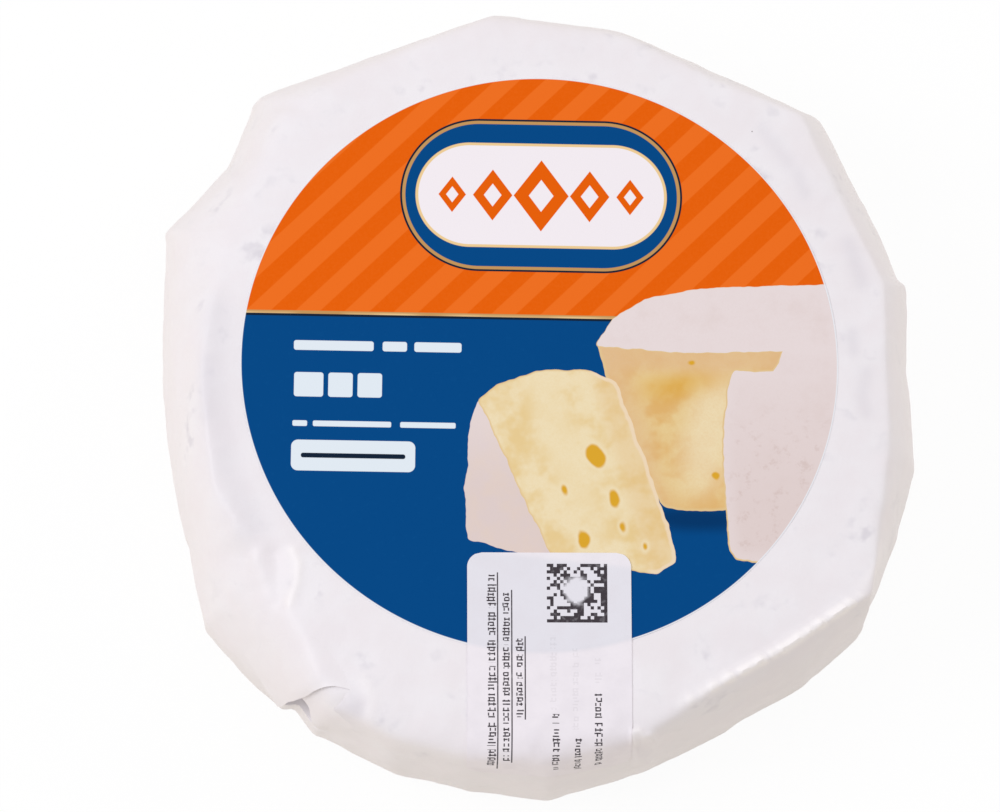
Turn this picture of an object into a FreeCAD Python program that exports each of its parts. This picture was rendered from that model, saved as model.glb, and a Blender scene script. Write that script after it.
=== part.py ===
import FreeCAD, Part
import math
import os
from collections import namedtuple

# A small brie in its shop wrapping: a low wheel of soft cheese folded into one sheet of
# white paper, a round printed label on the flat top, and a date sticker that starts on the
# label, crosses the rim and turns down the wall.
# Millimetres, +Z up.  The origin is the middle of the base, and +Y is the label's top edge.

# The wheel in its paper.
WHEEL_RADIUS = 46.0        # the tightest place round the belt, paper included
WHEEL_HEIGHT = 24.0
BELT_HEIGHT = 12.0         # where the wall stands out furthest
RIM_DROP = 0.6             # how far the paper falls from the label's flat to the rim
SHOULDER_ROUND = 0.5       # 0 is a straight slope from the rim to the belt, 1 a full curve
FOOT_INSET = 4.0           # how far the wall turns in under the belt before it meets the base
BASE_DISC_RADIUS = 9.0     # the flat middle underneath, where all the pleats end

# The folds that take up the spare paper, anticlockwise from +X.  The paper between two folds
# is pulled flat.
#   bearing   where the fold's edge crosses the rim, in degrees
#   slack     how far its edge stands out past WHEEL_RADIUS at the belt
#   lap       how far the paper steps in behind the edge, down to the layer underneath
#   setback   how far the rim lies inside the belt there
#   lean      how far the edge has turned by the time it reaches the base, in degrees
Fold = namedtuple("Fold", "bearing slack lap setback lean")
FOLDS = [
    Fold(2, 0.2, 0.2, 3.5, 3),
    Fold(16, 2.8, 0.4, 4.6, 4),
    Fold(30, 2.5, 0.2, 5.3, 3),
    Fold(46, 5.0, 0.5, 5.2, -3),
    Fold(60, 1.8, 0.2, 3.3, 3),
    Fold(76, 2.6, 0.3, 3.0, 4),
    Fold(97, 3.7, 0.5, 2.8, -2),
    Fold(112, 2.8, 0.2, 3.4, 3),
    Fold(131, 6.9, 0.6, 6.3, 2),
    Fold(142, 3.7, 0.2, 5.5, 3),
    Fold(156, 5.6, 0.7, 9.0, -4),
    Fold(178, 0.3, 0.2, 4.6, 3),
    Fold(199, 0.8, 0.2, 4.6, 4),
    Fold(216, 3.9, 0.3, 9.4, -2),
    Fold(235, 3.5, 1.2, 3.2, -7),
    Fold(239, 3.8, 0.5, 2.0, -4),
    Fold(248, 3.3, 0.3, 0.9, 3),
    Fold(259, 2.9, 0.2, 0.7, 3),
    Fold(271, 3.3, 0.4, 2.0, 2),
    Fold(285, 1.8, 0.2, 2.2, 3),
    Fold(299, 0.8, 0.2, 3.4, 4),
    Fold(312, 2.2, 0.2, 3.1, 3),
    Fold(326, 3.5, 0.6, 2.3, -2),
    Fold(338, 1.7, 0.3, 2.8, 3),
    Fold(349, 1.7, 0.3, 4.1, 3),
]
LAP_TURN = 0.7             # bearing taken up by one step from a fold's edge to the layer below
UNDER_LAP = 0.5            # the deepest step between two layers underneath
UNDER_TWIST = 14.0         # how far the pleats swirl on their way to the base disc, in degrees

# The round label, laid on the flat of the top and a little off centre.
LABEL_INSET = 9.25         # bare paper from the label's edge out to WHEEL_RADIUS
LABEL_OFFSET = 1.9         # the label's centre from the wheel's, along +Y
LABEL_THICKNESS = 0.15
SEAT_MARGIN = 1.0          # flat paper past the label's edge

# The date sticker.
STICKER_WIDTH = 20.0
STICKER_LENGTH = 30.0
STICKER_CENTRE_X = 1.05
STICKER_DROP = 5.0         # how much of its length turns down the wall
STICKER_CORNER = 1.5
STICKER_THICKNESS = 0.12
STEP_WIDTH = 0.4           # the sticker's slope from the label's edge down to the paper

# How finely the folded paper is cut into flat facets.
COLUMN_SPAN = 5.0          # widest facet, in degrees of bearing
WALL_ROWS = 5              # rows of facets above the belt, and again below it
UNDER_ROWS = 3             # rows of facets from the foot of the wall to the base disc

LABEL_RADIUS = WHEEL_RADIUS - LABEL_INSET
SEAT_RADIUS = LABEL_RADIUS + SEAT_MARGIN


def between(low, high, share):
    return low + (high - low) * share


def polar(radius, bearing, height):
    turn = math.radians(bearing)
    return FreeCAD.Vector(radius * math.cos(turn), radius * math.sin(turn), height)


def seat_point(bearing, grow):
    """On the edge of the label's flat seat, a circle about the label's own centre."""
    turn = math.radians(bearing)
    across = LABEL_OFFSET * math.cos(turn)
    along = LABEL_OFFSET * math.sin(turn) + math.sqrt(SEAT_RADIUS ** 2 - across ** 2)
    return polar(along, bearing, WHEEL_HEIGHT + grow)


def upper_wall_point(fold, lap, share, grow):
    """From the rim, share 0, over the shoulder to the belt, share 1."""
    belt = WHEEL_RADIUS + fold.slack
    out = between(share, 1 - (1 - share) ** 2, SHOULDER_ROUND)
    down = between(share, share ** 2, SHOULDER_ROUND)
    radius = between(belt - fold.setback, belt, out) - lap * share
    height = between(WHEEL_HEIGHT - RIM_DROP, BELT_HEIGHT, down)
    steep = math.hypot(share, 1 - share)
    return polar(radius + grow * share / steep, fold.bearing + fold.lean * share / 2,
                 height + grow * (1 - share) / steep)


def lower_wall_point(fold, lap, share):
    """From the belt, share 0, in to the foot of the wall, share 1."""
    radius = WHEEL_RADIUS + fold.slack - lap - FOOT_INSET * share ** 2
    height = BELT_HEIGHT * (1 - share) ** 2 + min(lap, UNDER_LAP) * share
    return polar(radius, fold.bearing + fold.lean * (1 + share) / 2, height)


def under_point(fold, lap, share):
    """From the foot of the wall, share 0, along the pleat to the base disc, share 1.  The
    pleat rests on its edge, and the layer beside it lies a lap higher."""
    foot = WHEEL_RADIUS + fold.slack - lap - FOOT_INSET
    bearing = fold.bearing + fold.lean + UNDER_TWIST * share
    height = min(lap, UNDER_LAP) * (1 - share ** 3)
    return polar(between(foot, BASE_DISC_RADIUS, share), bearing, height)


def fold_line(fold, lap, grow):
    """A fold's line from the label's seat down the wall and in under the base.  Its edge has
    no lap, and the layer that comes out from behind it has the fold's own."""
    wall = [row / WALL_ROWS for row in range(WALL_ROWS + 1)]
    under = [row / UNDER_ROWS for row in range(1, UNDER_ROWS + 1)]
    points = [upper_wall_point(fold, lap, share, grow) for share in wall]
    points += [lower_wall_point(fold, lap, share) for share in wall[1:]]
    points += [under_point(fold, lap, share) for share in under]
    return points


def panel_columns(fold, following, grow=0.0):
    """The flat paper from behind one fold's edge to the next fold's edge, as columns of
    points that all start on the label's seat."""
    behind = fold._replace(bearing=fold.bearing + LAP_TURN)
    start = fold_line(behind, fold.lap, grow)
    end = fold_line(following, 0.0, grow)
    span = (following.bearing - behind.bearing) % 360
    count = max(2, round(span / COLUMN_SPAN))
    columns = []
    for step in range(count + 1):
        share = step / count
        column = [seat_point(behind.bearing + span * share, grow)]
        column += [low + (high - low) * share for low, high in zip(start, end)]
        columns.append(column)
    return columns


def all_columns(grow=0.0):
    columns = []
    for fold, following in zip(FOLDS, FOLDS[1:] + FOLDS[:1]):
        columns += panel_columns(fold, following, grow)
    return columns


def facet(*corners):
    return Part.Face(Part.makePolygon(list(corners) + [corners[0]]))


def strip_facets(left, right):
    """The two triangles of each four-cornered patch between two columns."""
    facets = []
    for row in range(len(left) - 1):
        facets.append(facet(left[row], left[row + 1], right[row + 1]))
        facets.append(facet(left[row], right[row + 1], right[row]))
    return facets


def solid_from(facets):
    shell = Part.Compound(facets)
    shell.sewShape()
    solid = Part.Solid(shell.Shells[0])
    if solid.Volume < 0:
        solid.reverse()
    return solid


def make_wrapped_cheese():
    """The whole wheel in its paper: a flat seat on top, folded walls and a pleated base."""
    columns = all_columns()
    facets = [facet(*[column[0] for column in columns])]
    facets.append(facet(*[column[-1] for column in columns]))
    for left, right in zip(columns, columns[1:] + columns[:1]):
        facets += strip_facets(left, right)
    return solid_from(facets)


def make_wedge(low_bearing, high_bearing, grow):
    """A slice of the wheel down to the belt, closed to the axis, whose top and wall are the
    paper's own facets moved out by grow."""
    columns = [column[:WALL_ROWS + 2] for column in all_columns(grow)
               if low_bearing < bearing_of(column[0]) < high_bearing]
    top = FreeCAD.Vector(0, 0, WHEEL_HEIGHT + grow)
    bottom = FreeCAD.Vector(0, 0, BELT_HEIGHT)
    facets = []
    for left, right in zip(columns, columns[1:]):
        facets += strip_facets(left, right)
        facets.append(facet(top, left[0], right[0]))
        facets.append(facet(bottom, left[-1], right[-1]))
    for side in (columns[0], columns[-1]):
        facets.append(facet(top, side[0], bottom))
        for upper, lower in zip(side, side[1:]):
            facets.append(facet(bottom, upper, lower))
    return solid_from(facets)


def bearing_of(point):
    return math.degrees(math.atan2(point.y, point.x)) % 360


def make_round_label():
    base = FreeCAD.Vector(0, LABEL_OFFSET, WHEEL_HEIGHT)
    return Part.makeCylinder(LABEL_RADIUS, LABEL_THICKNESS, base)


def rim_under_sticker():
    """How far out the rim lies on the sticker's middle line."""
    front_rim = [column[1] for column in all_columns() if column[1].y < 0]
    nearest = min(front_rim, key=lambda point: abs(point.x - STICKER_CENTRE_X))
    return -nearest.y


def sticker_outline():
    """A block with rounded corners that the sticker is cut out with, seen from above on the
    top and from the front on the wall."""
    left = STICKER_CENTRE_X - STICKER_WIDTH / 2
    back = -(rim_under_sticker() - (STICKER_LENGTH - STICKER_DROP))
    bottom = WHEEL_HEIGHT - STICKER_DROP
    front = -2 * WHEEL_RADIUS
    block = Part.makeBox(STICKER_WIDTH, back - front, 2 * STICKER_DROP,
                         FreeCAD.Vector(left, front, bottom))
    corners = [edge for edge in block.Edges if is_sticker_corner(edge, back, bottom)]
    return block.makeFillet(STICKER_CORNER, corners)


def is_sticker_corner(edge, back, bottom):
    """The block's upright edges at the back and its level edges along Y at the bottom."""
    start, end = (vertex.Point for vertex in edge.Vertexes)
    run = end - start
    upright = abs(run.z) > 0 and abs(run.y) < 1e-6 and abs(start.y - back) < 1e-6
    level = abs(run.y) > 0 and abs(start.z - bottom) < 1e-6 and abs(end.z - bottom) < 1e-6
    return upright or level


def make_date_sticker(label):
    """A thin skin on the label and the paper, which steps down off the label's edge."""
    reach = math.degrees(math.atan2(STICKER_WIDTH, rim_under_sticker() - STICKER_LENGTH / 2))
    paper, thin, raised = (
        make_wedge(270 - reach, 270 + reach, grow)
        for grow in (0.0, STICKER_THICKNESS, LABEL_THICKNESS + STICKER_THICKNESS))
    over_label = Part.makeCylinder(
        LABEL_RADIUS + STEP_WIDTH, 2 * STICKER_DROP,
        FreeCAD.Vector(0, LABEL_OFFSET, WHEEL_HEIGHT - STICKER_DROP))
    outline = sticker_outline()
    on_paper = thin.common(outline).cut(paper)
    on_label = raised.common(outline).common(over_label).cut(paper)
    skin = on_paper.fuse(on_label).cut(label).removeSplitter()
    return skin.Solids[0]


def main():
    os.makedirs("parts", exist_ok=True)
    label = make_round_label()
    nodes = {
        "wrapped_cheese": make_wrapped_cheese(),
        "round_label": label,
        "date_sticker": make_date_sticker(label),
    }
    for name, shape in nodes.items():
        box = shape.BoundBox
        print(f"{name}: valid {shape.isValid()}, {len(shape.Solids)} solid, "
              f"{len(shape.Faces)} faces, {shape.Volume / 1000:.3f} cm3, "
              f"x {box.XMin:.2f} {box.XMax:.2f}, y {box.YMin:.2f} {box.YMax:.2f}, "
              f"z {box.ZMin:.2f} {box.ZMax:.2f}")
        shape.exportStep(f"parts/{name}.step")


main()
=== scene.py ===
"""A small brie in its shop wrapping: white paper folded round the wheel, a round printed label
on top, and a date sticker that turns down over the rim.  Lengths are in metres and the frame
is the CAD's: +Z up, the middle of the base at the origin, +Y the label's top edge."""
import math
from collections import namedtuple
from contextlib import contextmanager
from functools import partialmethod

import bmesh
import bpy
import numpy as np
from mathutils import Matrix, Vector, noise
from mathutils.bvhtree import BVHTree


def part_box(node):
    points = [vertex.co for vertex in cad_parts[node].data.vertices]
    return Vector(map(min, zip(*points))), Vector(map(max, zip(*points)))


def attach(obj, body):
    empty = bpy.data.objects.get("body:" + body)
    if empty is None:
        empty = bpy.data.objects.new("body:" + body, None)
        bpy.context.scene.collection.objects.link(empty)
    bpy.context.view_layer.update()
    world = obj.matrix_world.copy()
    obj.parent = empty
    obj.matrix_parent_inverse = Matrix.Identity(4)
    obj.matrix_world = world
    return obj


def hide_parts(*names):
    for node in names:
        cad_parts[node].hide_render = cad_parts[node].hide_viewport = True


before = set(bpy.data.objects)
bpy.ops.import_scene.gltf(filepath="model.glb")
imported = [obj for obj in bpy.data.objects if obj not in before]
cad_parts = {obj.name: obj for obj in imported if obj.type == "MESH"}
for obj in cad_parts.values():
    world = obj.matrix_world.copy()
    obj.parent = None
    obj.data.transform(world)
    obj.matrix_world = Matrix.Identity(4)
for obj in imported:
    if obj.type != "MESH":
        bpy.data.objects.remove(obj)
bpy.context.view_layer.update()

MM = 0.001

# ---------------------------------------------------------------- sizes, from the frame

_, paper_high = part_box("wrapped_cheese")
label_low, label_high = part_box("round_label")
sticker_low, sticker_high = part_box("date_sticker")

WHEEL_HEIGHT = paper_high[2]
LABEL_RADIUS = (label_high[0] - label_low[0]) / 2
LABEL_CENTRE = Vector(((label_high[0] + label_low[0]) / 2,
                       (label_high[1] + label_low[1]) / 2, WHEEL_HEIGHT))
LABEL_THICKNESS = label_high[2] - label_low[2]
STICKER_WIDTH = sticker_high[0] - sticker_low[0]
STICKER_CENTRE_X = (sticker_high[0] + sticker_low[0]) / 2
STICKER_BACK = sticker_high[1]
STICKER_LENGTH = 30 * MM
STICKER_THICKNESS = 0.12 * MM
STICKER_CORNER = 1.8 * MM

# ---------------------------------------------------------------- the folded paper

WHEEL_RADIUS = 46.0 * MM
BELT_HEIGHT = 12.0 * MM
RIM_DROP = 0.6 * MM
SHOULDER_ROUND = 0.5
FOOT_INSET = 4.0 * MM
BASE_DISC_RADIUS = 9.0 * MM
LAP_TURN = 0.7
UNDER_LAP = 0.5 * MM
UNDER_TWIST = 14.0
SEAT_MARGIN = 1.0 * MM
SEAT_RADIUS = LABEL_RADIUS + SEAT_MARGIN

# The folds, anticlockwise from +X, in degrees and millimetres: where a fold's edge crosses the
# rim, how far it stands out at the belt, how far the paper steps in behind it, how far the rim
# lies inside the belt, and how far the edge has turned when it reaches the base.
Fold = namedtuple("Fold", "bearing slack lap setback lean")
FOLDS = [
    Fold(2, 0.2, 0.2, 3.5, 3),
    Fold(16, 2.8, 0.9, 4.6, 4),
    Fold(30, 2.5, 0.2, 4.6, 3),
    Fold(46, 5.0, 0.5, 3.9, -3),
    Fold(60, 1.8, 0.2, 3.3, 3),
    Fold(76, 2.6, 0.3, 3.0, 4),
    Fold(97, 3.7, 0.5, 2.8, -2),
    Fold(112, 2.8, 0.2, 3.4, 3),
    Fold(131, 6.6, 0.6, 6.3, 3),
    Fold(140, 3.2, 0.2, 5.0, 2),
    Fold(156, 5.2, 0.7, 9.0, -2),
    Fold(178, 0.3, 0.2, 4.6, 3),
    Fold(199, 0.8, 0.2, 4.6, 4),
    Fold(216, 3.9, 0.3, 9.4, -2),
    Fold(235, 3.5, 1.2, 3.2, -7),
    Fold(239, 3.8, 0.5, 2.0, -4),
    Fold(248, 3.3, 0.3, 0.9, 3),
    Fold(259, 2.9, 0.2, 0.7, 3),
    Fold(271, 3.3, 0.4, 2.0, 2),
    Fold(285, 1.8, 0.2, 1.4, 3),
    Fold(299, 0.8, 0.2, 2.4, 4),
    Fold(312, 2.2, 0.2, 2.7, 3),
    Fold(326, 3.5, 0.6, 0.9, -2),
    Fold(338, 1.7, 0.3, 2.8, 3),
    Fold(349, 1.7, 0.3, 4.1, 3),
]

SEAT_ROWS = 4              # from the middle of the top to the label's edge
TOP_ROWS = 15              # from there to the rim
WALL_ROWS = 32             # from the rim to the belt
FOOT_ROWS = 20             # from the belt to the base
UNDER_ROWS = 14            # underneath, to the base disc
COLUMN_STEP = 0.42         # degrees of bearing between two columns
PAPER_THICKNESS = 0.12 * MM
FOLD_SOFTNESS = 0.5        # how far a shallow fold is rubbed smooth: 0 not at all, 1 all
FOLD_PASSES = 8
FOLD_REACH = 1.6           # how far from a fold its paper is rubbed smooth, in degrees
PANEL_BOW = 0.35           # how far a panel follows the round cheese: 0 not at all, 1 all


def between(low, high, share):
    return low + (high - low) * share


def polar(radius, bearing, height):
    turn = np.radians(bearing)
    return np.stack([radius * np.cos(turn), radius * np.sin(turn),
                     np.broadcast_to(height, np.shape(radius))], axis=-1)


def unit(vectors):
    return vectors / np.maximum(np.linalg.norm(vectors, axis=-1, keepdims=True), 1e-12)


def lengths_along(line):
    """How far along a line of points each of them is."""
    steps = np.linalg.norm(np.diff(line, axis=0), axis=1)
    return np.concatenate([[0], np.cumsum(steps)])


def points_along(line, walk, places):
    """Points on a line at places measured along it."""
    return np.stack([np.interp(places, walk, line[:, axis]) for axis in range(3)], axis=-1)


def ease(rows, passes):
    """Smooths rows of points in place, and leaves the first and last as they are."""
    for _ in range(passes):
        rows[1:-1] = (rows[:-2] + 2 * rows[1:-1] + rows[2:]) / 4


def wall_outward(share, below_belt):
    """Which way is out of the paper, as a radial and an upright part, row by row."""
    if below_belt:
        radial, upright = 1 - share ** 3, -share ** 2
    else:
        radial, upright = share, 1 - share
    size = np.hypot(radial, upright)
    return radial / size, upright / size


def fold_line(fold, lap, turn=0.0):
    """One line down the paper from the rim to the base disc, as points and which way is out."""
    belt = WHEEL_RADIUS + fold.slack * MM
    lap = lap * MM
    bearing = fold.bearing + turn
    step = min(lap, UNDER_LAP)

    share = np.linspace(0, 1, WALL_ROWS + 1)
    out = between(share, 1 - (1 - share) ** 2, SHOULDER_ROUND)
    down = between(share, share ** 2, SHOULDER_ROUND)
    upper = polar(between(belt - fold.setback * MM, belt, out) - lap * share,
                  bearing + fold.lean * share / 2,
                  between(WHEEL_HEIGHT - RIM_DROP, BELT_HEIGHT, down))
    upper_out = wall_outward(share, False)

    share = np.linspace(0, 1, FOOT_ROWS + 1)[1:]
    lower = polar(belt - lap - FOOT_INSET * share ** 2,
                  bearing + fold.lean * (1 + share) / 2,
                  BELT_HEIGHT * (1 - share) ** 2 + step * share)
    lower_out = wall_outward(share, True)

    share = np.linspace(0, 1, UNDER_ROWS + 1)[1:]
    foot = belt - lap - FOOT_INSET
    under = polar(between(foot, BASE_DISC_RADIUS, share),
                  bearing + fold.lean + UNDER_TWIST * share,
                  step * (1 - share ** 3))

    points = np.concatenate([upper, lower, under])
    radial, upright = np.concatenate([upper_out, lower_out, (0 * share, -1 + 0 * share)], axis=1)
    angle = np.arctan2(points[:, 1], points[:, 0])
    return points, np.stack([radial * np.cos(angle), radial * np.sin(angle), upright], axis=-1)


def panel_columns(fold, following):
    """The paper from behind one fold's edge to the next fold's edge, column by column: its
    points, which way is out, and how soft the fold beside it is."""
    low = fold.bearing + LAP_TURN
    span = (following.bearing - low) % 360
    start, start_out = fold_line(fold, fold.lap, LAP_TURN)
    end, end_out = fold_line(following, 0.0)
    bow = PANEL_BOW * (WHEEL_RADIUS * (1 - math.cos(math.radians(span / 2))))
    count = max(4, round(span / COLUMN_STEP))
    for step in range(count + 1):
        share = step / count
        outward = unit(between(start_out, end_out, share))
        points = between(start, end, share) + outward * bow * 4 * share * (1 - share)
        near = min(share, 1 - share) * span / FOLD_REACH
        beside = fold if share < 0.5 else following
        soft = FOLD_SOFTNESS if beside.lap < 0.5 else 0.25 * FOLD_SOFTNESS
        yield points, outward, soft * max(0.0, 1 - near)


def seat_ring(bearing, radius):
    """Points at a radius about the label's own centre, at bearings about the wheel's."""
    across = LABEL_CENTRE.y * np.cos(bearing)
    along = LABEL_CENTRE.y * np.sin(bearing) + np.sqrt(radius ** 2 - across ** 2)
    return np.stack([along * np.cos(bearing), along * np.sin(bearing),
                     np.full_like(bearing, WHEEL_HEIGHT)], axis=-1)


def paper_grid():
    """The whole sheet as columns by rows of points, with its outward directions."""
    columns = []
    for fold, following in zip(FOLDS, FOLDS[1:] + FOLDS[:1]):
        columns += panel_columns(fold, following)
    points, outward, soft = (np.array(part) for part in zip(*columns))
    soft = soft[:, None, None]
    for _ in range(FOLD_PASSES):
        points += soft * ((np.roll(points, 1, 0) + np.roll(points, -1, 0)) / 2 - points)

    bearing = np.arctan2(points[:, 0, 1], points[:, 0, 0])
    seat = seat_ring(bearing, SEAT_RADIUS)
    middle = np.array(LABEL_CENTRE)
    top = [between(middle, seat, (row + 1) / (SEAT_ROWS + 1)) for row in range(SEAT_ROWS)]
    top += [between(seat, points[:, 0], row / TOP_ROWS) for row in range(TOP_ROWS)]
    top = np.stack(top, axis=1)
    upward = np.broadcast_to([0.0, 0.0, 1.0], top.shape)
    return np.concatenate([top, points], axis=1), np.concatenate([upward, outward], axis=1)


RIM_ROW = SEAT_ROWS + TOP_ROWS
# How crisp the rim is round the wheel: bearing and a value from 0, fully rounded, to 1, sharp.
RIM_EDGE = [(-72, 0.45), (-62, 0.9), (-56, 1.0), (-38, 1.0), (-33, 0.75), (-20, 0.85), (0, 0.9),
            (28, 0.9), (50, 0.8), (62, 0.55), (95, 0.45), (150, 0.5), (170, 0.85), (180, 0.93),
            (222, 0.93), (230, 0.75), (238, 0.3), (250, 0.0), (275, 0.0), (288, 0.45)]
RUBBED_ROWS = [(12, 22, 0.5), (8, 16, 1.0)]   # rows inward of the rim and down from it, share
RIM_PASSES = 60
RIDGE = (290.0, 303.0, 323.0, 326.0)          # where the ridge starts, is full, and ends
RIDGE_WIDTH = 0.7 * MM
CRIMP_LENGTH = 1.1 * MM


def rim_bearing(points):
    return np.degrees(np.arctan2(points[:, RIM_ROW, 1], points[:, RIM_ROW, 0]))


def soften_rim(points):
    """Rounds the paper over the rim, more where it is slack."""
    first = RIM_EDGE[0][0]
    crisp = np.interp((rim_bearing(points) - first) % 360 + first, *zip(*RIM_EDGE))
    soft = np.zeros(points.shape[1])
    for inward, down, share in RUBBED_ROWS:
        soft[RIM_ROW - inward:RIM_ROW + down] = share
    weight = (0.015 + 0.48 * (1 - crisp) ** 1.5)[:, None, None] * soft[None, :, None]
    for _ in range(RIM_PASSES):
        middle = (points[:, :-2] + points[:, 2:]) / 2
        points[:, 1:-1] += weight[:, 1:-1] * (middle - points[:, 1:-1])


def crumple(place, size, octaves):
    """Smooth noise at points in metres, about -1 to 1, with waves of a size in metres."""
    flat = place.reshape(-1, 3) / size
    values = [noise.fractal(point, 0.9, 2.1, octaves) for point in flat.tolist()]
    return np.array(values).reshape(place.shape[:-1])


def wrinkle_paper(points, outward):
    """The slight waves and small buckles of paper over a soft cheese."""
    across = np.hypot(points[..., 0] - LABEL_CENTRE.x, points[..., 1] - LABEL_CENTRE.y)
    under_label = (across < LABEL_RADIUS + 0.4 * MM) & (points[..., 2] > WHEEL_HEIGHT - 0.4 * MM)
    free = np.clip((across - LABEL_RADIUS) / (6 * MM), 0, 1)
    free = np.where(points[..., 2] < WHEEL_HEIGHT - 1.5 * MM, 1.0, free)
    free[under_label] = 0.0
    wave = crumple(points, 11 * MM, 2)
    buckle = 1 - np.abs(crumple(points + 0.3, 5 * MM, 2)) * 2
    ripple = crumple(points + 0.7, 1.8 * MM, 2)
    lift = (0.24 * wave + 0.10 * buckle + 0.02 * ripple) * MM * free
    points += outward * lift[..., None]


def pinch_ridge(points, outward, ridge_highlight_and_grey):
    """The crimped ridge along the rim at the front right, with its raised crest marked for a
    painted highlight.
    """
    rim = points[:, RIM_ROW].copy()
    walk = np.cumsum(np.linalg.norm(np.roll(rim, -1, axis=0) - rim, axis=1))
    crimp = np.array([noise.noise((value / CRIMP_LENGTH, 0.0, 3.0)) for value in walk])
    height = np.interp(rim_bearing(points) % 360, RIDGE, (0.0, 1.0, 1.0, 0.0))
    height *= np.clip(0.50 + 0.7 * crimp, 0.15, 0.9) * MM
    for row in range(RIM_ROW - 5, RIM_ROW + 6):
        apart = np.linalg.norm(points[:, row] - rim, axis=1)
        lift = height * np.exp(-(apart / RIDGE_WIDTH) ** 2)
        points[:, row] += outward[:, row] * (0.4 * lift)[:, None]
        points[:, row, 2] += 0.8 * lift
        # Marks the lifted crest for a painted highlight.
        ridge_highlight_and_grey[:, row] = np.maximum(ridge_highlight_and_grey[:, row], np.clip(lift / (0.32 * MM), 0, 1))


# Creases and dents pressed into the paper, seen from above: height in millimetres, or depth
# where it is negative, width, and the line it follows.
CREASES = [
    (0.30, 0.6, [(-30.2, -22.0), (-29.5, -23.7), (-29.7, -25.9), (-30.6, -28.5)]),
    (-0.45, 1.2, [(-32.6, -22.6), (-32.1, -24.8), (-31.5, -28.0)]),
    (0.25, 1.0, [(-34.7, -23.0), (-33.6, -24.8)]),
    (-0.20, 1.2, [(-38.0, -22.0), (-36.4, -22.8)]),
    (0.55, 2.2, [(-41.5, 9.9), (-41.5, -4.3), (-40.2, -13.1), (-37.4, -19.0)]),
    (-0.30, 1.1, [(-43.4, 3.4), (-43.1, 1.2), (-43.5, -1.2)]),
    (0.50, 0.40, [(11.2, -44.5), (11.8, -44.3), (12.4, -44.9), (13.7, -44.8)]),
    (0.45, 0.40, [(11.3, -45.1), (11.8, -46.0), (13.6, -45.8)]),
    (-0.25, 0.9, [(-32.0, 35.6), (-29.2, 34.8)]),
    (-0.30, 1.4, [(-37.6, 28.4), (-36.4, 26.4)]),
    (0.16, 0.6, [(42.2, -21.0), (40.8, -24.4), (39.4, -26.4)]),
    (-0.16, 1.0, [(-24.6, -37.6), (-22.4, -39.4)]),
    (0.14, 0.7, [(-21.6, -38.0), (-20.4, -40.4), (-20.8, -42.6)]),
    (0.12, 0.9, [(-6.5, -44.4), (0.4, -45.6), (8.0, -44.6)]),
    (-0.12, 1.3, [(16.5, -38.0), (21.5, -34.5)]),
    (0.12, 1.0, [(30.0, 31.5), (33.6, 27.0), (36.0, 24.0)]),
    (0.10, 1.2, [(-12.0, 44.0), (-4.0, 43.0), (5.0, 43.6)]),
]
# The pocket that the loose edges at the front left stand over.
POCKET = [
    (-1.5, 1.0, [(-30.8, -38.8), (-29.0, -39.7), (-27.4, -40.1)]),
    (-0.7, 0.9, [(-27.4, -40.1), (-24.8, -40.4)]),
    (-1.1, 0.9, [(-30.2, -40.0), (-28.6, -41.4), (-27.2, -42.6)]),
]
# Lines along which the paper is greyed, seen from above: how much, width, and the line. The last
# lies along the foot of the loose edges at the front left and is painted shade under them; the
# others grey bands near the rim and the folds.
GREY_LINES = [
    (0.28, 2.2, [(-39.4, 8.0), (-39.3, -5.0), (-38.2, -12.0), (-35.4, -18.5)]),
    (0.22, 1.0, [(-40.8, 2.0), (-40.9, -5.0)]),
    (0.32, 1.1, [(38.4, 17.4), (39.9, 12.4)]),
    (0.34, 0.9, [(38.6, 5.8), (38.7, 3.6)]),
    (0.28, 1.0, [(40.2, 0.8), (39.6, -2.4), (40.1, -4.2)]),
    (0.26, 1.1, [(28.0, 32.0), (31.0, 27.8)]),
    (0.28, 0.9, [(32.2, 26.2), (33.0, 23.8)]),
    (0.45, 1.6, [(-29.6, -41.2), (-26.0, -41.6), (-22.6, -41.4)]),
]


def near_line(points, line, width):
    """1 on a line seen from above, falling to 0 a few widths away from it."""
    flat = points[..., :2] / MM
    nearest = np.full(points.shape[:2], 1e9)
    for start, end in zip(line, line[1:]):
        start, way = np.array(start), np.array(end) - np.array(start)
        share = np.clip(((flat - start) @ way) / (way @ way), 0, 1)
        nearest = np.minimum(nearest, np.linalg.norm(
            flat - start - share[..., None] * way, axis=-1))
    return np.exp(-(nearest / width) ** 2)


def press_creases(points, outward, creases, ridge_highlight_and_grey):
    """Presses creases into the paper.  The narrow ridges on top stand up from the paper and are
    marked for a painted highlight.
    """
    on_top = np.clip(points[..., 2] / (0.1 * WHEEL_HEIGHT) - 8.4, 0, 1)
    upper = (outward[..., 2] > 0.02) & (points[..., 2] > 0.3 * WHEEL_HEIGHT)
    lift = np.zeros(points.shape[:2])
    for height, width, line in creases:
        press = near_line(points, line, width) * upper
        lift += height * press
        # Narrow ridges on top get a painted highlight.
        if height > 0 and width < 0.8:
            np.maximum(ridge_highlight_and_grey, min(0.6, 2 * height) * press * on_top, out=ridge_highlight_and_grey)
    points += outward * (lift * MM)[..., None]


# Free edges of paper that lie over the layer below, at the front left: points the edge follows,
# the way back to where the sheet joins, how far back, and how far the edge lifts.
FLAPS = [
    ([(-31.4, -38.2, 12.0), (-29.6, -38.6, 17.5), (-27.4, -38.4, 21.3), (-25.2, -38.6, 22.9),
      (-23.0, -39.4, 23.5)], (-0.45, 0.85, 0.25), 10.0, 0.9),
    ([(-30.6, -38.2, 22.0), (-30.0, -39.4, 20.4), (-28.8, -41.0, 17.0), (-27.1, -42.3, 12.0)],
     (0.85, 0.0, 0.2), 10.0, 0.6),
]
FLAP_COLUMNS, FLAP_ROWS = 60, 26
FLAP_TAPER = 14            # columns over which the lift dies away at the edge's end
FLAP_SINK = 0.06           # how far the joined end goes into the paper, in millimetres


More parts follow.
